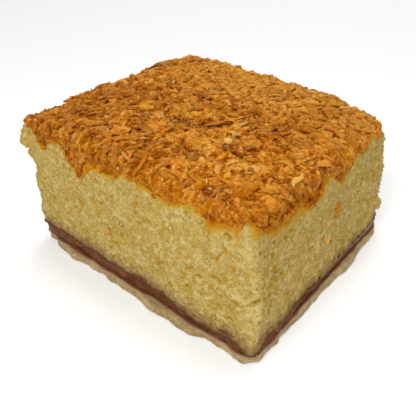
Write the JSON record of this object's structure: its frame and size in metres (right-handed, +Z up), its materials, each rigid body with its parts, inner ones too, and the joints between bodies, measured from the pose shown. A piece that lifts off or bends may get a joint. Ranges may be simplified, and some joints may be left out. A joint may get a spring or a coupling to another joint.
{
  "type": "coconut slice",
  "caption": "Square-cut raspberry coconut tray-bake slice: pastry base, raspberry jam, thick vanilla sponge and a toasted shredded-coconut topping.",
  "frame": {"origin": "middle of the underside of the slice's bounding box", "axes": "+Z up through the layers, +X along the wider cut face, which looks along -Y"},
  "size_m": [0.0848, 0.0752, 0.045],
  "materials": {
    "pastry": "baked shortcrust, matt and slightly crumbly",
    "jam": "set raspberry jam, slightly glossy",
    "sponge": "cut pale yellow sponge crumb, matt with small pores",
    "coconut": "toasted sugared coconut shreds, golden orange with a soft sheen"
  },
  "bodies": {
    "root": {"pastry_base": "pastry", "raspberry_jam": "jam", "sponge": "sponge", "toasted_coconut": "coconut"}
  },
  "joints": []
}
